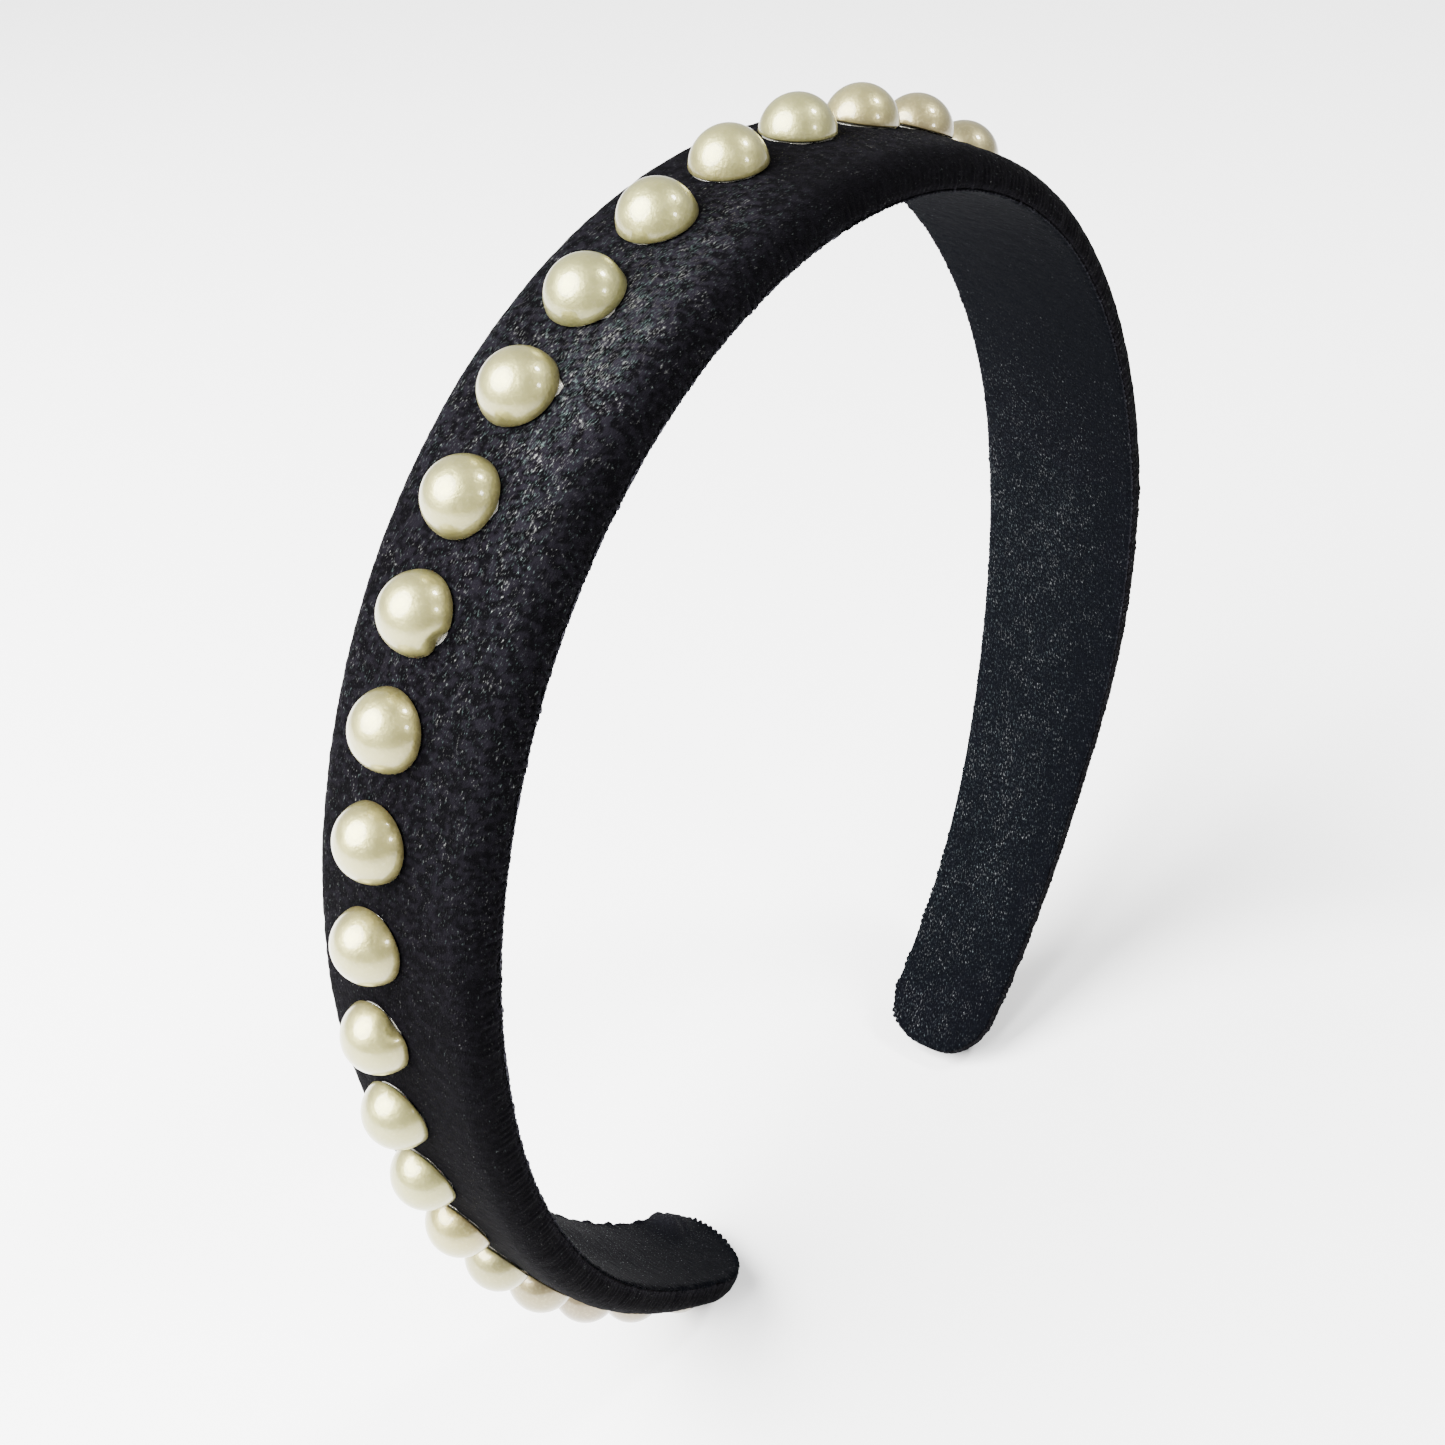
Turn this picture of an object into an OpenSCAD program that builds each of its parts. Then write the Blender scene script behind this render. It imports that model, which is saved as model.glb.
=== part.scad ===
// Padded velvet headband with one row of flat-backed half pearls.
//
// The band is an arch in the XZ plane, as it is worn: +Z is up, X runs from ear
// to ear and -Y is the front. The origin is the centre of the crown's arc, half
// way across the band's width, so it lies on the axis of the seat for the head.
//
// Each half of the arch is three arcs in a row: crown, shoulder and curled-in end.
// Places along it are arc lengths on the outer face, measured from the top.
// The crown and the two arms are separate bodies that meet at a flex line, where
// the springy core does most of its bending.

/* [Band] */
// Width of the band over the crown and the upper arms
band_w = 22; // [18:0.5:30]
// Thickness of the finished band along its middle
band_t = 4.8; // [4.6:0.1:6.5]
// Rise of the padded outer face above its edges
dome_h = 0.9; // [0.5:0.1:1.4]
// Length from tip to tip along the outer face
band_len = 396; // [390:1:420]
// Width of each rounded tip
tip_w = 15; // [11:0.5:17]
// Length over which each arm narrows to its tip
taper_len = 95; // [60:1:105]

/* [Arch] */
// Radius of the crown's outer face
crown_r = 62; // [60:0.5:63]
// Radius of each arm's outer face, from the crown to the widest point
shoulder_r = 78.5; // [74:0.5:84]
// Radius of each arm's outer face, from the widest point to the tip
end_r = 92.5; // [88:0.5:100]
// Clearance between the crown and each arm at the flex line
flex_gap = 0.2; // [0.1:0.05:0.4]

/* [Layers] */
// Thickness of the velvet cover on the outer face, the edges and the tips
cover_t = 0.7; // [0.5:0.1:0.9]
// Thickness of the velvet lining on the inner face
lining_t = 0.7; // [0.5:0.1:0.9]
// Thickness of the springy plastic core
core_t = 1.5; // [1.2:0.1:1.8]

/* [Half pearls] */
// Diameter of a half pearl's flat back
pearl_d = 8; // [6:0.5:9]
// Height of a half pearl
pearl_h = 3.9; // [2.8:0.1:4]
// Distance from one half pearl to the next along the row
pearl_pitch = 11; // [10.5:0.1:11.1]
// Half pearls on the crown, on each side of the middle one
pearls_beside_top = 5; // [5:1:5]
// Half pearls on each arm
pearls_per_arm = 12; // [6:1:12]
// Distance of the row behind the middle of the band
row_offset = 1.5; // [0:0.1:2.5]
// Diameter of the glue bead under a half pearl
glue_d = 6.4; // [3:0.1:6.8]
// Thickness of the glue bead where the half pearl sits closest to the cover
glue_t = 0.1; // [0.05:0.05:0.3]
// Depth that the glue soaks into the velvet
glue_sink = 0.3; // [0.2:0.05:0.45]

/* [Hidden] */
$fn = 96;
// Distance that a cutting shape runs past the face it cuts
past = 1;

// Each half of the arch is the crown's arc, the shoulder's arc down to the widest
// point, where the outer face is upright, and the end's arc from there to the tip
half_len = band_len / 2;
crown_len = (pearls_beside_top + 0.5) * pearl_pitch;
crown_angle = degrees_of(crown_len, crown_r);
upright = 90;
shoulder_len = shoulder_r * (upright - crown_angle) * PI / 180;
widest_s = crown_len + shoulder_len;
gap_angle = degrees_of(flex_gap, shoulder_r);

// Centre of each arc, as [x, z] on the right half
crown_centre = [0, 0];
shoulder_centre = crown_centre + (crown_r - shoulder_r) * outward(crown_angle);
end_centre = shoulder_centre + [shoulder_r - end_r, 0];

// Radius of each tip's round end, a little over half the tip's width
tip_round_r = 1.1 * tip_w / 2;

// Radius of the domed face across the band
dome_r = (pow(band_w / 2, 2) + pow(dome_h, 2)) / (2 * dome_h);

// Depths of the layers' faces below the outer face
core_top = band_t - lining_t - core_t;
lining_top = band_t - lining_t;

pearl_count = 2 * (pearls_beside_top + pearls_per_arm) + 1;
middle_pearl = pearls_beside_top + pearls_per_arm + 1;

band_nodes = [
    for (layer = ["cover", "pad", "core", "lining", "glue"])
        for (part = ["crown", "left_arm", "right_arm"])
            str(layer, "_", part)
];

// Angle in degrees of an arc of the given length and radius
function degrees_of(len, r) = len / r * 180 / PI;

// Direction that the outer face looks in, at an angle from the top
function outward(angle) = [sin(angle), cos(angle)];

// Angle from the top, at arc length s
function angle_at(s) =
    s <= crown_len ? degrees_of(s, crown_r)
    : s <= widest_s ? crown_angle + degrees_of(s - crown_len, shoulder_r)
    : upright + degrees_of(s - widest_s, end_r);

// Point of the outer face's middle line, as [x, z], at arc length s
function point_at(s) =
    s <= crown_len ? crown_centre + crown_r * outward(angle_at(s))
    : s <= widest_s ? shoulder_centre + shoulder_r * outward(angle_at(s))
    : end_centre + end_r * outward(angle_at(s));

function pearl_name(i) = str("pearl_", i < 10 ? "0" : "", i);

// ---- Placing and sweeping ----

// Moves children from the origin to arc length s, their +Z out of the outer face.
// A negative s is on the left half.
module on_band(s) {
    p = point_at(abs(s));
    translate([sign(s) * p[0], 0, p[1]])
        rotate([0, sign(s) * angle_at(abs(s)), 0])
            children();
}

// Turns a section about an arc's centre, upwards from the widest point's level,
// or downwards from it, between two angles from that level
module sweep(centre, from, to, down = false) {
    translate([centre[0], 0, centre[1]])
        mirror([0, 0, down ? 1 : 0])
            rotate([90, 0, 0])
                rotate([0, 0, from])
                    rotate_extrude(angle = to - from)
                        children();
}

// Section of a layer between two depths, at an arc of radius r.
// Its outer face is domed or flat, and inset takes the same off both edges.
module section(r, top, bottom, inset, domed) {
    half_w = band_w / 2 - inset;
    if (domed)
        intersection() {
            translate([r - dome_r, 0])
                circle(r = dome_r - top, $fn = 360);
            translate([r - bottom, -half_w])
                square([bottom + past, 2 * half_w]);
        }
    else
        translate([r - bottom, -half_w])
            square([bottom - top, 2 * half_w]);
}

// ---- Outline of an arm ----

// Prism along X that narrows the right arm towards its tip
module taper_prism(inset) {
    full = band_w / 2 - inset;
    narrow = tip_w / 2 - inset;
    z_top = crown_r;
    z_full = point_at(half_len - taper_len)[1];
    z_low = point_at(half_len)[1] - band_t;
    outline = [
        [full, z_top], [full, z_full], [narrow, z_low],
        [-narrow, z_low], [-full, z_full], [-full, z_top]
    ];
    rotate([90, 0, 90])
        linear_extrude(height = crown_r + shoulder_r)
            polygon(outline);
}

// Everything that an arm may fill: the prism, cut off past the tip's round end,
// which is part of the wall of a post through the band
module arm_outline(inset) {
    difference() {
        taper_prism(inset);
        on_band(half_len - tip_round_r)
            difference() {
                translate([0, -band_w, -crown_r])
                    cube([band_len, 2 * band_w, 2 * crown_r]);
                translate([0, 0, -crown_r - past])
                    cylinder(r = tip_round_r - inset, h = 2 * crown_r + 2 * past);
            }
    }
}

// ---- A layer of the crown and of the right arm ----

module crown_layer(top, bottom, inset, domed) {
    sweep(crown_centre, upright - crown_angle, upright + crown_angle)
        section(crown_r, top, bottom, inset, domed);
}

module arm_layer(top, bottom, inset, domed) {
    intersection() {
        union() {
            sweep(shoulder_centre, 0, upright - crown_angle - gap_angle)
                section(shoulder_r, top, bottom, inset, domed);
            sweep(end_centre, 0, angle_at(half_len) - upright, down = true)
                section(end_r, top, bottom, inset, domed);
        }
        arm_outline(inset);
    }
}

// Draws the right arm as it is, or mirrored as the left one
module arm_side(left) {
    mirror([left ? 1 : 0, 0, 0])
        children();
}

// ---- Velvet cover: outer face, both edges and the tips, open on the inner face ----

module cover_crown() {
    color("#15161b")
        difference() {
            crown_layer(0, band_t, 0, true);
            crown_layer(cover_t, band_t + past, cover_t, true);
        }
}

module cover_arm(left) {
    color("#15161b")
        arm_side(left)
            difference() {
                arm_layer(0, band_t, 0, true);
                arm_layer(cover_t, band_t + past, cover_t, true);
            }
}

// ---- Sponge pad between the cover and the core ----

module pad_crown() {
    color("#d9d6cc")
        crown_layer(cover_t, core_top, cover_t, true);
}

module pad_arm(left) {
    color("#d9d6cc")
        arm_side(left)
            arm_layer(cover_t, core_top, cover_t, true);
}

// ---- Springy plastic core ----

module core_crown() {
    color("#f2f2ee")
        crown_layer(core_top, lining_top, cover_t, false);
}

module core_arm(left) {
    color("#f2f2ee")
        arm_side(left)
            arm_layer(core_top, lining_top, cover_t, false);
}

// ---- Velvet lining on the inner face ----

module lining_crown() {
    color("#1b1d24")
        crown_layer(lining_top, band_t, cover_t, false);
}

module lining_arm(left) {
    color("#1b1d24")
        arm_side(left)
            arm_layer(lining_top, band_t, cover_t, false);
}

// ---- Half pearls and their glue ----

// Half pearl i of the row, counted from the left tip
module pearl(i) {
    color("#efe6cf")
        on_band((i - middle_pearl) * pearl_pitch)
            translate([0, row_offset, glue_t])
                intersection() {
                    translate([0, 0, pearl_h - pearl_d / 2])
                        sphere(d = pearl_d);
                    translate([-pearl_d, -pearl_d, 0])
                        cube([2 * pearl_d, 2 * pearl_d, pearl_d]);
                }
}

// Glue beads of half pearls first to last, soaked a little way into the pile
module glue_beads(first, last) {
    color("#cfc9b6")
        for (i = [first:last])
            on_band((i - middle_pearl) * pearl_pitch)
                translate([0, row_offset, -glue_sink])
                    cylinder(d = glue_d, h = glue_sink + glue_t);
}

// ---- Nodes ----

cover_crown();
cover_arm(true);  // cover_left_arm
cover_arm(false);  // cover_right_arm
pad_crown();
pad_arm(true);  // pad_left_arm
pad_arm(false);  // pad_right_arm
core_crown();
core_arm(true);  // core_left_arm
core_arm(false);  // core_right_arm
lining_crown();
lining_arm(true);  // lining_left_arm
lining_arm(false);  // lining_right_arm
glue_beads(pearls_per_arm + 1, pearl_count - pearls_per_arm);  // glue_crown
glue_beads(1, pearls_per_arm);  // glue_left_arm
glue_beads(pearl_count - pearls_per_arm + 1, pearl_count);  // glue_right_arm
for (i = [1:pearl_count])
    pearl(i);
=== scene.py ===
import math

import bmesh
import bpy
import numpy as np
from mathutils import Matrix, Vector, noise


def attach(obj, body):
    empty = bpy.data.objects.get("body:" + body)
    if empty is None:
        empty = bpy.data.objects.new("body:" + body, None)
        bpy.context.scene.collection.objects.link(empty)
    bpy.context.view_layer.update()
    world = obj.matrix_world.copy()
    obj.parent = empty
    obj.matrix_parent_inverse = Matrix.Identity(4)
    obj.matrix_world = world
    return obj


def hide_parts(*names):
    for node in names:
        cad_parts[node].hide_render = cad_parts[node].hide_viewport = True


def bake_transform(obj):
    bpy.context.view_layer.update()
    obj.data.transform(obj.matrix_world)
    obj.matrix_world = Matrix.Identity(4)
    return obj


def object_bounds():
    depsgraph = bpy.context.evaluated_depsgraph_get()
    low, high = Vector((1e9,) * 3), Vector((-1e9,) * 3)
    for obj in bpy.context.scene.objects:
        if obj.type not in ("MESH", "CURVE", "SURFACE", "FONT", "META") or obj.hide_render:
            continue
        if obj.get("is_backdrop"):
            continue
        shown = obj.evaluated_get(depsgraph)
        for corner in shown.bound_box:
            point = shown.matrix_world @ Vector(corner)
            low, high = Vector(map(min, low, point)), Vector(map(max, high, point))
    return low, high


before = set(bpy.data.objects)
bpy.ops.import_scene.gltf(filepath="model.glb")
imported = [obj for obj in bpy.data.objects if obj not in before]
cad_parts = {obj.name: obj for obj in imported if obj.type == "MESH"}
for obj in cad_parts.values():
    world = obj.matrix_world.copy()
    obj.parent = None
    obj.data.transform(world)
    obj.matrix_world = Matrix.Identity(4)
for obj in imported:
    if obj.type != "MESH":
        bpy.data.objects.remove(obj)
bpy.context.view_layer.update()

MM = 0.001  # a millimetre, in metres

# ---- Sizes of the band, in millimetres, as in the CAD ----

CROWN_R, SHOULDER_R, END_R = 62.0, 78.5, 92.5
PITCH, ROW_Y = 11.0, 1.5
PEARLS, MIDDLE_PEARL = 35, 18
HALF_LEN, CROWN_LEN = 198.0, 5.5 * PITCH
HALF_W, TIP_HALF_W, TAPER_LEN = 11.0, 7.5, 95.0
BAND_T, COVER_T, LINING_T, CORE_T = 4.8, 0.7, 0.7, 1.5
CORE_LOW = BAND_T - LINING_T
CORE_HIGH = CORE_LOW - CORE_T
DOME_H = 0.9
DOME_R = (HALF_W**2 + DOME_H**2) / (2 * DOME_H)
PEARL_R, PEARL_H, GLUE_T = 4.0, 3.9, 0.1

# ---- Sizes that only the looks have, in millimetres ----

TIP_LEN = 8.4  # length of the rounded tip
TIP_WAY = 12.0  # about the length of its outline, from one side to the end
TIP_POWER = 2.2  # 2 would make the tip's outline half an ellipse, and more makes it squarer
EDGE_R = 2.8  # radius of the soft edge between the outer face and the sides
BEND = 18.0  # how far each side of a flex line the band bends
LEFT_TIP_SHIFT, RIGHT_TIP_SHIFT = 1.5, -1.0  # how far each tip lies to the back
RIGHT_WIDER = 0.07  # how much wider the right arm is where it starts to narrow, as a share
CORNER_FOLD = 6.0  # most that the left tip's front corner is shortened by its fold
FOLD_RISE, HEM_RISE = 1.4, 1.3  # of the fold at the left tip and of the left lining's back hem
TUFT_PITCH = 0.9  # from tuft to tuft along a cut edge
PILE_RISE = 0.07  # how much the uneven pile rises and falls
CROWN_ANGLE = CROWN_LEN / CROWN_R
WIDEST = CROWN_LEN + SHOULDER_R * (math.pi / 2 - CROWN_ANGLE)
SHOULDER_C = (CROWN_R - SHOULDER_R) * np.array([math.sin(CROWN_ANGLE), math.cos(CROWN_ANGLE)])
END_C = SHOULDER_C + np.array([SHOULDER_R - END_R, 0.0])
SIDES = {"left": -1, "right": 1}


def arch(s):
    """x and z of the outer face's middle line on the right half, and its normal's angle from +Z."""
    s = np.asarray(s, float)
    on_crown, on_shoulder = s <= CROWN_LEN, s <= WIDEST
    a = np.select(
        [on_crown, on_shoulder],
        [s / CROWN_R, CROWN_ANGLE + (s - CROWN_LEN) / SHOULDER_R],
        math.pi / 2 + (s - WIDEST) / END_R,
    )
    r = np.select([on_crown, on_shoulder], [CROWN_R, SHOULDER_R], END_R)
    cx = np.select([on_crown, on_shoulder], [0.0, SHOULDER_C[0]], END_C[0])
    cz = np.select([on_crown, on_shoulder], [0.0, SHOULDER_C[1]], END_C[1])
    return cx + r * np.sin(a), cz + r * np.cos(a), a


def taper(s):
    """Half the band's width at s, before its tip is rounded."""
    z_full, z_low = arch(HALF_LEN - TAPER_LEN)[1], arch(HALF_LEN)[1] - BAND_T
    t = np.clip((z_full - arch(s)[1]) / (z_full - z_low), 0, 1)
    return HALF_W - (HALF_W - TIP_HALF_W) * np.where(np.asarray(s) > HALF_LEN - TAPER_LEN, t, 0)


def in_frame(s, y, depth, side):
    """Points at arc length s, y across and depth below the outer face, in the part's frame, in metres."""
    x, z, a = arch(s)
    return np.stack([side * (x - depth * np.sin(a)), y, z - depth * np.cos(a)], -1) * MM


def smooth(t):
    """Rises smoothly from 0 to 1 as t does."""
    t = np.clip(t, 0, 1)
    return t * t * (3 - 2 * t)


def bell(x, middle, reach):
    """1 at the middle, falling off on both sides over about that reach."""
    return np.exp(-(((x - middle) / reach) ** 2))


def grain(points, size, seed):
    """Noise from -1 to 1 at each point, with lumps of about that size in millimetres."""
    offset = Vector((seed * 17.3, seed * 5.1, seed * 9.7))
    values = [noise.noise(Vector(p) / size + offset) for p in points.reshape(-1, 3)]
    return np.array(values).reshape(points.shape[:-1])


# ---- Camera ----

AZ, EL, ROLL = math.radians(47.246), math.radians(38.882), math.radians(-7.016)
TARGET = Vector((4.895, 15.745, -16.533)) * MM
DISTANCE = 246.45 * MM
LENS, SENSOR_W = 48.644, 36.0


def aim(az, el, roll=0.0):
    """Axes of a camera or light that looks back at the object from there."""
    back = Vector((-math.sin(az) * math.cos(el), -math.cos(az) * math.cos(el), math.sin(el)))
    right = Vector((math.cos(az), -math.sin(az), 0.0))
    up = back.cross(right)
    x = math.cos(roll) * right + math.sin(roll) * up
    y = -math.sin(roll) * right + math.cos(roll) * up
    return Matrix((x, y, back)).transposed()


def put(obj, target, distance, axes):
    """Places a camera or light at a distance from its target, with those axes."""
    obj.matrix_world = Matrix.Translation(target + axes.col[2] * distance) @ axes.to_4x4()
    bpy.context.scene.collection.objects.link(obj)
    return obj


camera = bpy.data.cameras.new("camera")
camera.lens, camera.sensor_width = LENS, SENSOR_W
camera.clip_start, camera.clip_end = 0.01, 20.0
axes = aim(AZ, EL, ROLL)
bpy.context.scene.camera = put(bpy.data.objects.new("camera", camera), TARGET, DISTANCE, axes)

# ---- Materials ----

# Colours of the velvet tufts, partly a painted glint, and of cut fibre ends, partly a painted sheen
GLINT_GREYS = ((0.028, 0.028, 0.029), (0.032, 0.050, 0.047), (0.115, 0.118, 0.113))
GLINT_BLUES = ((0.028, 0.031, 0.035), (0.036, 0.048, 0.051), (0.120, 0.127, 0.130))
FRAYED_AND_SHEEN = (0.060, 0.058, 0.070, 1)
# Painted shade on the half pearls: dark tan at the flat back up to light ivory on top
SHADED_IVORY = ((0.02, (0.165, 0.13, 0.05)), (0.3, (0.235, 0.205, 0.07)), (0.85, (0.305, 0.28, 0.107)))
COOL_IVORY = (0.26, 0.26, 0.10, 1)
# Painted shade, a dark pinkish tan, on half pearls towards the tips
PAINTED_SHADE_TAN = (0.13, 0.095, 0.06, 1)
PALE_SPECKS = (0.40, 0.36, 0.19, 1)


class Nodes:
    """A material's node tree, built by short calls."""

    def __init__(self, name):
        self.material = bpy.data.materials.new(name)
        self.material.use_nodes = True
        self.tree = self.material.node_tree
        self.shader = self.tree.nodes["Principled BSDF"]

    def add(self, kind, **settings):
        node = self.tree.nodes.new("ShaderNode" + kind)
        for key, value in settings.items():
            setattr(node, key, value)
        return node

    def join(self, source, socket):
        self.tree.links.new(source, socket)

    def noise(self, scale, detail=2.0, roughness=0.5, lean=0.0, attribute="place"):
        """Noise with lumps of scale millimetres on the piece laid out flat, leaning by an angle."""
        where = self.add("Attribute", attribute_name=attribute)
        turned = self.add("VectorRotate", rotation_type="Z_AXIS")
        turned.inputs["Angle"].default_value = lean
        mapped = self.add("Mapping")
        mapped.inputs["Scale"].default_value = [1 / x for x in scale]
        node = self.add("TexNoise")
        for key, value in (("Scale", 1.0), ("Detail", detail), ("Roughness", roughness)):
            node.inputs[key].default_value = value
        self.join(where.outputs["Vector"], turned.inputs["Vector"])
        self.join(turned.outputs["Vector"], mapped.inputs["Vector"])
        self.join(mapped.outputs["Vector"], node.inputs["Vector"])
        return node.outputs["Fac"]

    def ramp(self, source, *stops):
        """Colours or greys at places from 0 to 1 along source."""
        node = self.add("ValToRGB")
        elements = node.color_ramp.elements
        while len(elements) < len(stops):
            elements.new(0.5)
        for element, (at, value) in zip(elements, stops):
            element.position = at
            element.color = (*(value if hasattr(value, "__len__") else (value,) * 3), 1.0)
        self.join(source, node.inputs["Fac"])
        return node.outputs["Color"]

    def mix(self, a, b, factor):
        node = self.add("Mix", data_type="RGBA")
        for value, key in ((a, "A"), (b, "B"), (factor, "Factor")):
            socket = node.inputs[key]
            if isinstance(value, bpy.types.NodeSocket):
                self.join(value, socket)
            else:
                socket.default_value = value
        return node.outputs["Result"]

    def math(self, operation, a, b=0.0, clamp=False):
        node = self.add("Math", operation=operation, use_clamp=clamp)
        for value, socket in ((a, node.inputs[0]), (b, node.inputs[1])):
            if isinstance(value, bpy.types.NodeSocket):
                self.join(value, socket)
            else:
                socket.default_value = value
        return node.outputs[0]

    def bump(self, height, distance):
        node = self.add("Bump")
        node.inputs["Distance"].default_value = distance
        self.join(height, node.inputs["Height"])
        self.join(node.outputs["Normal"], self.shader.inputs["Normal"])

    def set(self, **values):
        for key, value in values.items():
            self.shader.inputs[key.replace("_", " ")].default_value = value
        return self.material


def velvet(name, base, glint, tuft, sheen_haze, tint):
    """Short black pile that lies along the band: dark between the tufts, and tufts that glint like satin,
    their lighter colour partly their own satin reflectance and partly a painted glint. base is the colour
    between them, made sheen_haze times as light by a painted sheen where the pile stands up, and glint the
    three colours of the tufts, which are tuft millimetres long. The attribute nap_and_sheen is high where
    the pile stands up and where the painted sheen and most glints lie. The attribute rim is 1 where the cut
    ends of the fibres show lighter, partly by fraying and partly by a painted sheen."""
    n = Nodes(name)
    tufts = n.noise((tuft, 0.42 * tuft, 0.5 * tuft), detail=2.0, roughness=0.6, lean=0.22)
    fine = n.noise((0.26, 0.12, 0.15), detail=1.5, lean=0.3)
    lumps = n.noise((0.7, 1.0, 0.8), detail=1.0, lean=-0.5)
    patches = n.noise((13.0, 6.0, 8.0), detail=3.0, roughness=0.6)
    hues = n.noise((2.2, 1.5, 1.8), detail=2.0)
    nap_and_sheen = n.add("Attribute", attribute_name="nap_and_sheen").outputs["Fac"]
    # Painted sheen: where the pile stands up, more tufts rise to glint and the ground between them is made
    # lighter, in lumps.
    uneven = n.math("MULTIPLY", n.math("SUBTRACT", patches, 0.5), 0.9)
    brushed_and_sheen = n.math("MULTIPLY", nap_and_sheen, n.math("ADD", uneven, 1.0), clamp=True)
    raised = n.math("SUBTRACT", tufts, n.math("MULTIPLY", n.math("SUBTRACT", 1.0, brushed_and_sheen), 0.2))
    lit = n.ramp(raised, (0.47, 0.0), (0.56, 0.16), (0.64, 0.55), (0.71, 1.0))
    painted_sheen = n.math("MULTIPLY", brushed_and_sheen, n.ramp(lumps, (0.42, 0.0), (0.62, 1.0)))
    ground = n.mix(base, tuple(sheen_haze * c for c in base[:3]) + (1,), painted_sheen)
    # The tufts' colours: partly their own satin reflectance, through metallic, and partly a painted glint.
    shades = n.ramp(hues, (0.38, glint[0]), (0.5, glint[1]), (0.62, glint[2]))
    rim = n.add("Attribute", attribute_name="rim").outputs["Fac"]
    # Cut fibre ends show lighter where the rim attribute is high: partly fraying, partly a painted sheen.
    frayed_and_sheen = n.math("MULTIPLY", rim, n.ramp(fine, (0.4, 0.1), (0.65, 1.0)))
    n.join(n.mix(n.mix(ground, shades, lit), FRAYED_AND_SHEEN, frayed_and_sheen), n.shader.inputs["Base Color"])
    n.join(n.ramp(lit, (0.0, 1.0), (0.12, 0.6), (0.6, 0.4)), n.shader.inputs["Roughness"])
    n.join(n.ramp(lit, (0.05, 0.0), (0.5, 0.8)), n.shader.inputs["Metallic"])
    ends = n.math("ADD", n.math("MULTIPLY", tufts, 0.6), n.math("MULTIPLY", fine, 0.2))
    n.bump(n.math("ADD", ends, n.math("MULTIPLY", lumps, 0.6)), 0.00025)
    return n.set(Sheen_Weight=0.002, Sheen_Roughness=0.4, Sheen_Tint=(*tint, 1), Specular_IOR_Level=0.02)


def pearl_coat():
    """Ivory pearlescent lacquer with painted shade: lighter on top, darker tan towards the flat back, and a
    little blotched. The attribute tone turns it a little cooler; tip_shade darkens some to a pinkish tan,
    painted shade."""
    n = Nodes("pearl_lacquer")
    up = n.add("Attribute", attribute_name="local")
    split = n.add("SeparateXYZ")
    n.join(up.outputs["Vector"], split.inputs["Vector"])
    height = n.math("DIVIDE", split.outputs["Z"], PEARL_H)
    blotch = n.noise((1.5, 1.5, 1.5), detail=3.0, roughness=0.6)
    mottle = n.noise((0.34, 0.34, 0.34), detail=2.0)
    # Painted shade: the colour darkens from the top down to the flat back, blotched at random.
    shade = n.math("ADD", height, n.math("MULTIPLY", n.math("SUBTRACT", blotch, 0.5), 0.4), clamp=True)
    body = n.ramp(shade, *SHADED_IVORY)
    tone = n.add("Attribute", attribute_name="tone")
    cool = n.mix(body, COOL_IVORY, n.math("MULTIPLY", tone.outputs["Fac"], 0.6))
    # Painted shade: half pearls towards both tips, and a few past the top, are darkened to a pinkish tan.
    tip_shade = n.add("Attribute", attribute_name="tip_shade")
    shaded_tips = n.mix(cool, PAINTED_SHADE_TAN, n.math("MULTIPLY", tip_shade.outputs["Fac"], 0.85))
    specks = n.ramp(mottle, (0.5, 0.0), (0.75, 0.25))
    n.join(n.mix(shaded_tips, PALE_SPECKS, specks), n.shader.inputs["Base Color"])
    n.join(n.ramp(blotch, (0.3, 0.34), (0.7, 0.46)), n.shader.inputs["Roughness"])
    n.bump(n.math("ADD", blotch, n.math("MULTIPLY", mottle, 0.3)), 0.00008)
    return n.set(
        Metallic=0.78, Coat_Weight=0.8, Coat_Roughness=0.1, Coat_IOR=1.5,
        Subsurface_Weight=0.1, Subsurface_Radius=(0.9, 0.6, 0.4), Subsurface_Scale=0.0008,
    )


def plain(name, colours, size, roughness, bump, **values):
    """A material whose colour, roughness and bump follow two noises, one broad and one close."""
    n = Nodes(name)
    broad = n.noise((size, size, size), detail=3.0)
    close = n.noise((size / 7, size / 7, size / 7), detail=2.0)
    both = n.math("ADD", n.math("MULTIPLY", broad, 0.6), n.math("MULTIPLY", close, 0.4))
    n.join(n.ramp(both, (0.38, colours[0]), (0.62, colours[1])), n.shader.inputs["Base Color"])
    n.join(n.ramp(both, (0.35, roughness[0]), (0.65, roughness[1])), n.shader.inputs["Roughness"])
    n.bump(both, bump)
    return n.set(**values)


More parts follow.
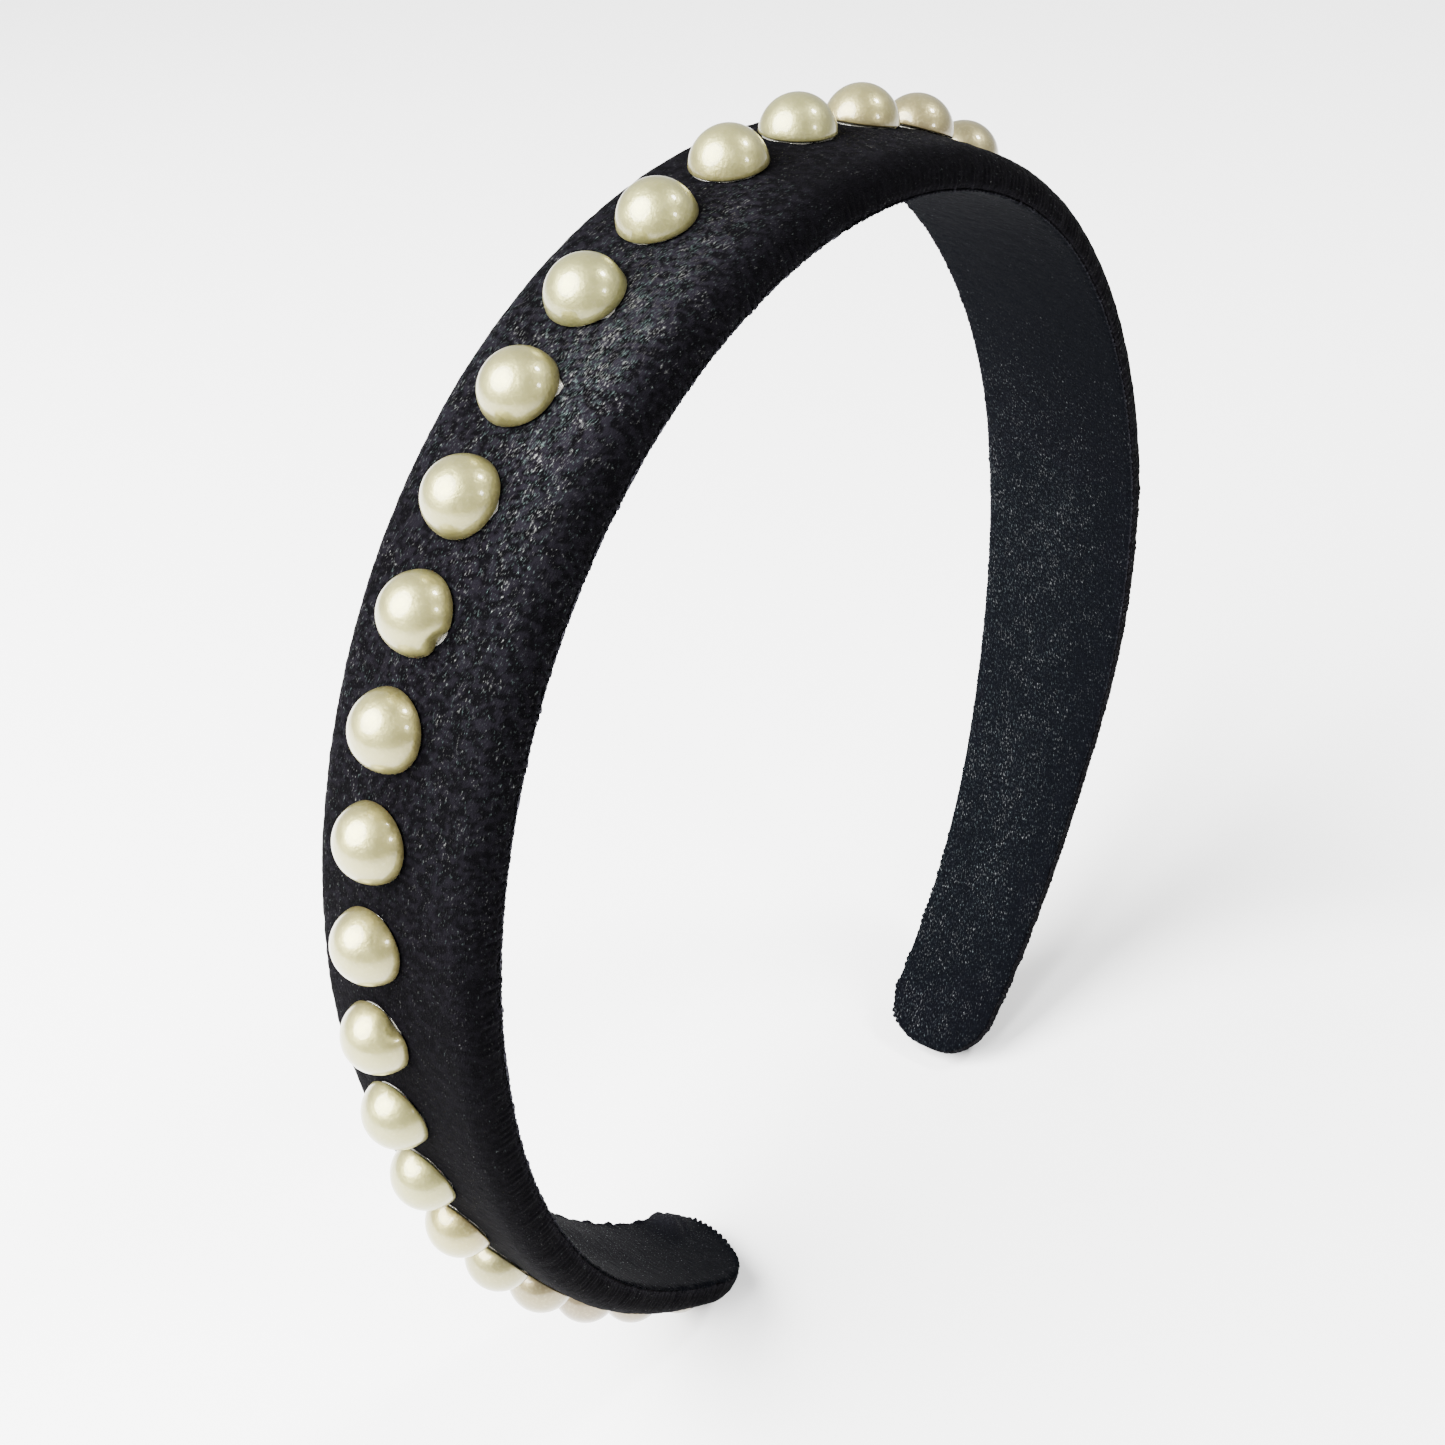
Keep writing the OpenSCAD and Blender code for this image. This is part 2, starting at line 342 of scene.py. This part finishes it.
# Each material slot's finish
FINISH = {
    # Each velvet's ground is made lighter by a painted sheen where the pile stands up, by the factor given
    # after tuft.
    "velvet_cover": velvet(
        "velvet_pile", base=(0.0008, 0.0007, 0.0010, 1), glint=GLINT_GREYS, tuft=0.42, sheen_haze=7.5,
        tint=(0.75, 0.8, 0.85),
    ),
    "velvet_lining": velvet(
        "velvet_pile_pressed", base=(0.0011, 0.0013, 0.0020, 1), glint=GLINT_BLUES, tuft=0.48, sheen_haze=1.6,
        tint=(0.7, 0.75, 0.85),
    ),
    "sponge_pad": plain("sponge", ((0.55, 0.53, 0.46), (0.8, 0.78, 0.7)), 1.6, (0.85, 1.0), 0.0003),
    "core_strip": plain(
        "moulded_plastic", ((0.74, 0.74, 0.71), (0.86, 0.86, 0.84)), 3.0, (0.38, 0.52), 0.00002,
        Specular_IOR_Level=0.45,
    ),
    "glue": plain(
        "set_glue", ((0.5, 0.48, 0.4), (0.72, 0.69, 0.6)), 0.8, (0.06, 0.16), 0.00008,
        Transmission_Weight=0.7, IOR=1.48, Coat_Weight=0.4, Coat_Roughness=0.05,
    ),
    "half_pearl": pearl_coat(),
}

# ---- Making pieces ----


def attribute(mesh, name, values):
    """Adds a vector or a number for each point of the mesh."""
    if values.shape[-1] == 3:
        mesh.attributes.new(name, "FLOAT_VECTOR", "POINT").data.foreach_set("vector", values.ravel())
    else:
        mesh.attributes.new(name, "FLOAT", "POINT").data.foreach_set("value", values.ravel())


def piece(name, points, faces, slot, layers, flat_end=False):
    """A closed, smooth mesh object in its slot's finish, with its texture places and shades as attributes.
    flat_end keeps the faces at x = 0 flat, with a sharp rim."""
    mesh = bpy.data.meshes.new(name)
    mesh.from_pydata(points.reshape(-1, 3).tolist(), [], faces)
    for key, values in layers.items():
        attribute(mesh, key, np.asarray(values, np.float32))
    b = bmesh.new()
    b.from_mesh(mesh)
    bmesh.ops.remove_doubles(b, verts=b.verts, dist=2e-6)
    bmesh.ops.dissolve_degenerate(b, edges=b.edges, dist=1e-7)
    bmesh.ops.recalc_face_normals(b, faces=b.faces)
    for face in b.faces:
        face.smooth = not (flat_end and all(abs(v.co.x) < 1e-7 for v in face.verts))
    for edge in b.edges:
        edge.smooth = len({face.smooth for face in edge.link_faces}) == 1
    b.to_mesh(mesh)
    b.free()
    mesh.materials.append(FINISH[slot])
    obj = bpy.data.objects.new(name, mesh)
    bpy.context.scene.collection.objects.link(obj)
    return obj


def flex_line(side):
    """A point of a flex line and the band's direction there, towards the tip."""
    hinge = Vector((side * CROWN_R * math.sin(CROWN_ANGLE), 0, CROWN_R * math.cos(CROWN_ANGLE))) * MM
    return hinge, Vector((side * math.cos(CROWN_ANGLE), 0, -math.sin(CROWN_ANGLE)))


def bend(obj):
    """obj crosses a flex line; its transform is only baked into its mesh, and nothing bends it here."""
    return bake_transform(obj)


# A column of a band piece is (share, inset, depth): its distance in from the band's outline is
# share of the half width plus inset, and depth is a function of its place. Columns run in a half
# loop, from the middle line of the outer side over the edge to the middle line of the other side.


def top_depth(y, e, over):
    """Depth of the padded outer face: domed across, soft at the edges and at the tip."""
    edge = np.clip(EDGE_R - e, 0, EDGE_R)
    return y**2 / (2 * DOME_R) + over**2 / (2 * DOME_R) + EDGE_R - np.sqrt(EDGE_R**2 - edge**2)


def spaced(count):
    """Shares of the half width from 0 to 1, closer together near 1."""
    t = np.linspace(0, 1, count + 1)
    return 0.5 * t + 0.5 * np.sin(t * math.pi / 2)


def settled(s, y, side):
    """Places in the real band. The left tip lies a little to the back, its front corner folded in and
    shorter. The right arm narrows later than the left one, and its tip lies a little to the front."""
    if side > 0:
        wider = 1 + RIGHT_WIDER * bell(s, 130, 24)
        return s, y * wider + RIGHT_TIP_SHIFT * smooth((s - 138) / 55)
    shorter = np.clip(2.3 - 0.42 * y, 0, CORNER_FOLD) * smooth((s - 170) / 24)
    return s - shorter, y + LEFT_TIP_SHIFT * smooth((s - 132) / 50)


def outline_rows(step):
    """Rows about step apart, along the band and round its tip. Each has the arc length that it starts
    from, the way along the outline, and how far forward and across the outline is, as shares."""
    start = HALF_LEN - TIP_LEN
    straight = np.linspace(0, start, round(start / step) + 1)
    phi = np.linspace(0, math.pi / 2, round(TIP_WAY / step) + 1)[1:]
    narrowing = np.maximum(1 - np.sin(phi) ** TIP_POWER, 0) ** (1 / TIP_POWER)
    at = np.concatenate([straight, np.full(len(phi), start)])
    way = np.concatenate([straight, start + TIP_WAY * phi / phi[-1]])[:, None]
    forward = np.concatenate([np.zeros(len(straight)), np.sin(phi)])
    across = np.concatenate([np.ones(len(straight)), narrowing])
    return at, way, forward, across


def outward(base, side):
    """Normals of the smooth form, to stand the relief on."""
    down = np.gradient(base, axis=0)
    round_it = (np.roll(base, -1, 1) - np.roll(base, 1, 1)) * side
    normal = np.cross(down, round_it)
    normal[0, :, 0] = 0
    length = np.linalg.norm(normal, axis=-1, keepdims=True)
    return np.where(length > 1e-12, normal / np.maximum(length, 1e-12), 0)


def loop_faces(rows, loop, width):
    """Faces between rows of loop points each, and those that close the first row, where x is 0."""
    index = np.arange(rows * loop).reshape(rows, loop)
    after = np.roll(index, -1, 1)
    faces = np.stack([index[:-1], index[1:], after[1:], after[:-1]], -1).reshape(-1, 4).tolist()
    first = index[0].tolist()
    faces += [[first[k], first[k + 1], first[-(k + 1)], first[-k]] for k in range(1, width - 2)]
    faces += [[first[0], first[1], first[-1]], first[width - 2 : width + 1]]
    return faces


def band_piece(layer, side_name, slot, step, columns, relief):
    """A closed piece that runs from the middle of the crown to one tip. relief gives how far each point
    stands out, how light its cut fibre ends show, partly a painted sheen, and how much the pile stands up
    with a painted sheen on it, from the way along the outline, its place on the band laid out flat, its
    column's number, its inset and the side."""
    side = SIDES[side_name]
    at, way, forward, across = outline_rows(step)
    half = taper(at)
    width, rows = len(columns), len(at)
    s, y, d, e = (np.zeros((rows, width)) for _ in range(4))
    for k, (share, inset, depth) in enumerate(columns):
        e[:, k] = np.minimum(share * half + inset, half)
        rho = 1 - e[:, k] / half
        s[:, k] = at + rho * TIP_LEN * forward
        y[:, k] = rho * half * across
        d[:, k] = depth(y[:, k], e[:, k], rho * TIP_LEN * forward, half)
    # The other half of each loop is the same with y negative, without the two middle lines again.
    s, d, e = (np.concatenate([v, v[:, -2:0:-1]], 1) for v in (s, d, e))
    y = np.concatenate([y, -y[:, -2:0:-1]], 1)
    number = np.tile(np.concatenate([np.arange(width), np.arange(width - 2, 0, -1)]), (rows, 1))
    flat = np.stack([side * s, y, d], -1)
    real_s, real_y = settled(s, y, side)
    base = in_frame(real_s, real_y, d, side)
    rise, rim, nap_and_sheen = (np.broadcast_to(v, s.shape) for v in relief(way, flat, number, e, side))
    # The relief fades out over the last 2 mm before the middle, where the two sides' pieces meet.
    points = base + outward(base, side) * (rise * smooth(s / 2.0))[..., None] * MM
    # The last row's two halves are one line.
    one, other = points[-1, 1 : width - 1], points[-1, : -(width - 1) : -1]
    one[:] = other[:] = (one + other) / 2
    layers = {"place": flat, "rim": rim.reshape(-1, 1), "nap_and_sheen": nap_and_sheen.reshape(-1, 1)}
    faces = loop_faces(rows, s.shape[1], width)
    obj = piece(f"{layer}_{side_name}", points, faces, slot, layers, flat_end=True)
    return bend(obj)


def flat_depth(value):
    """The same depth everywhere."""
    return lambda y, e, over, half: np.full_like(y, value)


def under_top(extra):
    """Depth that keeps extra below the outer face."""
    return lambda y, e, over, half: top_depth(y, e, over) + extra


def side_depth(share, bottom):
    """Depth that runs from the outer face's edge at share 0 to bottom at share 1."""
    return lambda y, e, over, half: (1 - share) * top_depth(y, e, over) + share * bottom


def pile(flat, seed):
    """Uneven pile: slow swells, tufts and the fine ends of the fibres."""
    stretched = flat * np.array([0.55, 1.0, 1.0])
    swells = 0.5 * grain(flat, 6.0, seed)
    tufts = 0.7 * grain(stretched, 1.1, seed + 1)
    return PILE_RISE * (swells + tufts + 0.9 * grain(stretched, 0.5, seed + 2))


def cut_edge(way, flat, seed):
    """Uneven tufts in a row along a cut edge of the pile, ragged towards the tips."""
    near_tip = smooth((way - 155) / 30)
    tooth = 2 * np.abs(way / TUFT_PITCH - np.floor(way / TUFT_PITCH + 0.5))
    along = flat * np.array([1.0, 0.2, 0.2])
    ragged = near_tip * (0.9 * grain(along, 2.2, seed + 1) + 0.5)
    fringe = tooth * np.clip(0.75 + 1.1 * grain(along, 1.3, seed), 0, 1.5) + ragged
    return (0.36 + 0.06 * near_tip) * (fringe - 0.75)


# ---- Velvet cover and lining ----
# The cover goes round both sides and a little way under; the lining lies over its turned edges.


def cover_columns():
    out = [(1 - q, 0.0, under_top(0.0)) for q in spaced(16)]
    wall = [(0.0, 0.0, side_depth(f, BAND_T - 0.5)) for f in (0.5, 1.0)]
    rim = [(0.0, x, flat_depth(BAND_T - z)) for x, z in ((0.04, 0.4), (0.3, 0.37), (0.6, 0.36))]
    inner = [(0.0, COVER_T, flat_depth(BAND_T - 0.5)), (0.0, COVER_T, flat_depth(3.4))]
    back = [(1 - q, q * COVER_T, under_top(COVER_T)) for q in spaced(5)[::-1]]
    return out + wall + rim + inner + back


def cover_relief(way, flat, number, e, side):
    """Pile on the columns that show: 0 to 16 on the outer face, 17 and 18 on the side, 19 on the turned
    edge. The pile stands up beside the half pearls, most of all on the upper arms, with a painted sheen and
    more glints there, less on the right. The cut edge at the side shows a little lighter, partly a painted
    sheen."""
    shown = number <= 19
    edge = smooth((number - 13) / 5)
    rise = pile(flat, 11 + side) + edge * cut_edge(way, flat, 5 + side)
    s, y = np.abs(flat[..., 0]), flat[..., 1]
    beside = (0.5 + 0.5 * smooth((5 - y) / 10)) * (0.2 + 0.8 * smooth((y + 10.5) / 5))
    # Painted sheen with more glints, placed beside the half pearls on the upper arms, where the light
    # falls; weaker on the right side.
    nap_and_sheen = 0.08 + 0.95 * beside * bell(s, 24, 24) + 0.3 * bell(s, 66, 28)
    if side > 0:
        nap_and_sheen = 0.4 * nap_and_sheen + 0.2 * edge * smooth((s - 60) / 40)
    return np.where(shown, rise, 0.0), np.where(shown, 0.1 * smooth((number - 16) / 2), 0.0), nap_and_sheen


def lining_columns():
    top = [(1 - q, q * (COVER_T + 0.3), flat_depth(BAND_T - LINING_T)) for q in spaced(4)]
    edge = ((0.75, 0.6), (0.7, 0.32), (0.08, 0.3), (0.0, 0.17), (0.12, 0.05))
    rim = [(0.0, x, flat_depth(BAND_T - z)) for x, z in edge]
    under = [(1 - q, q * 0.35, flat_depth(BAND_T)) for q in spaced(13)[::-1]]
    return top + rim + under


def lining_relief(way, flat, number, e, side):
    """Pile on the columns that show, from 7 on the edge to the middle of the inner face. The left arm
    has a fold near its tip, a hem along its back edge and a ragged front edge that shows lighter, partly
    by a painted sheen. A painted sheen with more glints grows towards the tips, half as strong on the left
    arm."""
    shown = number >= 7
    edge = smooth(1 - (e - 0.1) / 0.9)
    rise = pile(flat, 31 + side) + edge * cut_edge(way, flat, 5 + side)
    s, y = np.abs(flat[..., 0]), flat[..., 1]
    left = 1.0 if side < 0 else 0.0
    fold = left * FOLD_RISE * bell(s, 190.5, 3.2) * bell(y, 5.6, 2.4)
    crease = 1 - 0.4 * bell(s, 191.5, 0.8)
    hem = left * HEM_RISE * smooth((s - 118) / 30) * smooth((185 - s) / 30) * smooth((y + 3) / 8)
    # Painted sheen with more glints, stronger towards the tips and half as strong on the left arm.
    nap_and_sheen = 0.12 + 0.5 * smooth((s - 62) / 45) * (0.6 + 0.4 * smooth((y + 8) / 9))
    nap_and_sheen = nap_and_sheen * (1 - 0.5 * left)
    rise = np.where(shown, rise + fold * crease + hem, 0.0)
    # Cut fibre ends show lighter at the edge, partly fraying and partly a painted sheen: most along the
    # left arm's front edge, and a little on the fold.
    fuzz_and_sheen = smooth((0.35 - e) / 0.2) * smooth((150 - s) / 40) * np.where((y < 0) & (side < 0), 1.0, 0.2)
    return rise, np.where(shown, fuzz_and_sheen + 0.12 * fold, 0.0), nap_and_sheen


# ---- Sponge pad and moulded core, inside the velvet ----


def pad_columns():
    top = [(1 - q, q * (COVER_T + 0.05), under_top(COVER_T + 0.03)) for q in spaced(12)]
    sides = [(0.0, COVER_T + 0.12, flat_depth(CORE_HIGH - 0.12))]
    under = [(1 - q, q * (COVER_T + 0.35), flat_depth(CORE_HIGH - 0.02)) for q in spaced(6)[::-1]]
    return top + sides + under


def core_columns():
    top = [(1 - q, q * (COVER_T + 0.45), flat_depth(CORE_HIGH)) for q in spaced(6)]
    round_edge = (
        (0.2, CORE_HIGH + 0.12), (0.1, CORE_HIGH + 0.4), (0.1, CORE_LOW - 0.4), (0.2, CORE_LOW - 0.12)
    )
    rim = [(0.0, COVER_T + x, flat_depth(z)) for x, z in round_edge]
    under = [(1 - q, q * (COVER_T + 0.45), flat_depth(CORE_LOW - 0.02)) for q in spaced(6)[::-1]]
    return top + rim + under


def sponge_relief(way, flat, number, e, side):
    """The foam's fine grain, which stays clear of the cover."""
    return np.minimum(0.03 * grain(flat, 1.2, 51), 0.02), 0.0, 0.0


def moulded_relief(way, flat, number, e, side):
    """A smooth moulding."""
    return np.zeros_like(e), 0.0, 0.0


# Each layer's material slot, the distance between its rows in millimetres, its columns and its relief
LAYERS = {
    "cover": ("velvet_cover", 0.3, cover_columns(), cover_relief),
    "lining": ("velvet_lining", 0.3, lining_columns(), lining_relief),
    "pad": ("sponge_pad", 1.2, pad_columns(), sponge_relief),
    "core": ("core_strip", 1.6, core_columns(), moulded_relief),
}

for side_name in SIDES:
    cover, lining, pad, core = (band_piece(layer, side_name, *made) for layer, made in LAYERS.items())
    for obj, layer in zip((cover, lining, pad, core), LAYERS):
        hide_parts(f"{layer}_crown", f"{layer}_{side_name}_arm")

# ---- Half pearls and glue ----


def on_band(i):
    """The place of half pearl i: the foot of its flat back, its +Z out of the outer face."""
    s = (i - MIDDLE_PEARL) * PITCH
    side = -1 if s < 0 else 1
    x, z, a = (float(v) for v in arch(abs(s)))
    foot = Matrix.Translation(Vector((side * x, 0, z)) * MM)
    turn = Matrix.Rotation(side * a, 4, "Y")
    return foot @ turn @ Matrix.Translation((0, ROW_Y * MM, 0))


def lathe(name, rings, around, matrix, slot, seed, shades):
    """A turned closed form. rings(angle) gives its (radius, height) points, from the top's middle to the
    bottom's. shades are the attributes that are the same all over it."""
    angles = np.arange(around) * 2 * math.pi / around
    local = np.array([[(r * math.cos(t), r * math.sin(t), h) for r, h in rings(t)] for t in angles])
    world = local @ np.array(matrix.to_3x3()).T * MM + np.array(matrix.translation)
    count = local.shape[1]
    index = np.arange(around * count).reshape(around, count)
    after = np.roll(index, -1, 0)
    faces = np.stack([index[:, :-1], index[:, 1:], after[:, 1:], after[:, :-1]], -1).reshape(-1, 4).tolist()
    flat = local.reshape(-1, 3)
    layers = {key: np.full((len(flat), 1), value) for key, value in shades.items()}
    return piece(name, world, faces, slot, {"place": flat + seed * 13.7, "local": flat, **layers})


# Half pearls with a nick in the rim, and with glue squeezed out past it: where round the rim, as an
# angle in radians, and how far in or out, in millimetres
NICKS = {9: (-0.77, 0.5), 13: (-2.0, 0.6), 16: (-0.4, 0.2), 28: (2.2, 0.4), 31: (-2.0, 0.35)}
SQUEEZED = {14: (-1.6, 0.36), 15: (-1.2, 0.62), 16: (-1.9, 0.4), 21: (1.2, 0.5), 27: (-1.0, 0.55)}


def angle_off(t, middle):
    """How far the angle t is from the middle one, either way round."""
    return abs((t - middle + math.pi) % (2 * math.pi) - math.pi)


def pearl_rings(i):
    """Half a ball with a soft rim at its flat back, slightly out of round, a few with a nick in the rim."""
    nick_at, nick = NICKS.get(i, (0.0, 0.0))

    def rings(t):
        cut = nick * smooth(1 - angle_off(t, nick_at) / 0.42)
        oval = 1 + 0.006 * math.cos(2 * t + i) + 0.004 * math.cos(3 * t + 2 * i)
        points = []
        for theta in np.linspace(0, math.radians(86), 15):
            h = PEARL_H - PEARL_R + PEARL_R * math.cos(theta)
            low = smooth(1 - h / 2.2)
            points.append((PEARL_R * math.sin(theta) * oval - cut * low, h))
        edge = PEARL_R * oval - cut
        rim = [(edge - 0.02, 0.13), (edge - 0.08, 0.05), (edge - 0.2, 0.01), (edge - 0.7, 0.0), (0.0, 0.0)]
        return points + rim

    return rings


def glue_rings(i):
    """A low bead under a half pearl, uneven at the rim and squeezed out past it at a few."""
    out_at, out = SQUEEZED.get(i, (0.0, 0.0))

    def rings(t):
        uneven = 0.2 * noise.noise(Vector((2 * math.cos(t), 2 * math.sin(t), i * 3.1)))
        lump = smooth(1 - angle_off(t, out_at) / 0.38)
        r = 3.62 + uneven + out * 1.2 * lump
        fall = r * math.sin(t) + ROW_Y
        sink = fall**2 / (2 * DOME_R)
        return [
            (0.0, 0.1),
            (r * 0.6, 0.09),
            (r - 0.25, 0.06 + 0.25 * lump * out - 0.3 * sink),
            (r, -0.02 + 0.2 * lump * out - 0.8 * sink),
            (r + 0.06, -0.12 - sink),
            (r - 0.1, -0.3 - sink),
            (0.0, -0.3),
        ]

    return rings


def weight_there(p, side):
    """How far along a flex line's bend a point is: 0 at its start and 1 at its end."""
    hinge, along = flex_line(side)
    return 0.5 + (p - hinge).dot(along) / (2 * BEND * MM)


def tip_shade_share(i):
    """How much painted shade, a dark pinkish tan, half pearl i gets: most towards both tips, and again a
    little past the top.
    """
    return smooth((6.5 - i) / 4) + smooth((i - 29.5) / 4) + 0.6 * bell(i, 22, 2.2)


tones = np.random.default_rng(7).random(PEARLS + 1)
beads = {"left": [], "middle": [], "right": []}
for i in range(1, PEARLS + 1):
    side_name = "left" if i < MIDDLE_PEARL else "right"
    matrix, name = on_band(i), f"pearl_{i:02d}"
    raised = matrix @ Matrix.Translation((0, 0, GLUE_T * MM))
    shades = {"tone": tones[i], "tip_shade": tip_shade_share(i)}
    pearl = lathe("half_" + name, pearl_rings(i), 52, raised, "half_pearl", i, shades)
    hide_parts(name)
    along = weight_there(matrix.translation, SIDES[side_name])
    if 0 < along < 1:
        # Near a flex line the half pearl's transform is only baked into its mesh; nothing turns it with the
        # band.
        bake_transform(pearl)
    else:
        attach(pearl, "crown" if along <= 0 else side_name + "_arm")
    bead = lathe(f"bead_{i:02d}", glue_rings(i), 32, matrix, "glue", i, {})
    beads["middle" if i == MIDDLE_PEARL else side_name].append(bead)

for place, group in beads.items():
    glue = group[0]
    glue.name = "glue_" + place
    if len(group) > 1:
        with bpy.context.temp_override(active_object=glue, selected_editable_objects=group):
            bpy.ops.object.join()
    if place == "middle":
        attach(glue, "crown")
    else:
        bend(glue)
        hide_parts("glue_crown", f"glue_{place}_arm")

# ---- Floor and light ----

shown_low, shown_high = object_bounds()
just_below = shown_low[2] - 0.2 * MM
bpy.ops.mesh.primitive_plane_add(size=12.0, location=(0, 0, just_below))
floor = bpy.context.object
floor.name = "floor"
paper = Nodes("pale_paper")
mottled = paper.noise((60.0, 60.0, 60.0), detail=3.0, attribute="position")
paper.join(paper.ramp(mottled, (0.3, 0.9), (0.7, 0.93)), paper.shader.inputs["Base Color"])
floor.data.materials.append(paper.set(Roughness=0.9, Specular_IOR_Level=0.1))
floor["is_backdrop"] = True


def soft_light(name, direction, distance, size, power):
    """A round light in that direction from the origin, with its size in metres and power in watts."""
    light = bpy.data.lights.new(name, "AREA")
    light.shape, light.size, light.energy = "DISK", size, power
    d = Vector(direction).normalized()
    axes = aim(math.atan2(-d.x, -d.y), math.asin(d.z))
    put(bpy.data.objects.new(name, light), Vector((0, 0, 0)), distance, axes)


soft_light("key", (-0.62, 0.30, 0.73), 0.75, 0.8, 62.0)
soft_light("second", (0.50, -0.40, 0.76), 0.8, 0.14, 6.0)
soft_light("third", (0.12, -0.87, 0.45), 0.8, 0.13, 2.5)

world = bpy.data.worlds.new("studio")
world.use_nodes = True
world.node_tree.nodes["Background"].inputs["Color"].default_value = (1.0, 1.0, 1.0, 1)
world.node_tree.nodes["Background"].inputs["Strength"].default_value = 0.9
bpy.context.scene.world = world

shown_low, shown_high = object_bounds()
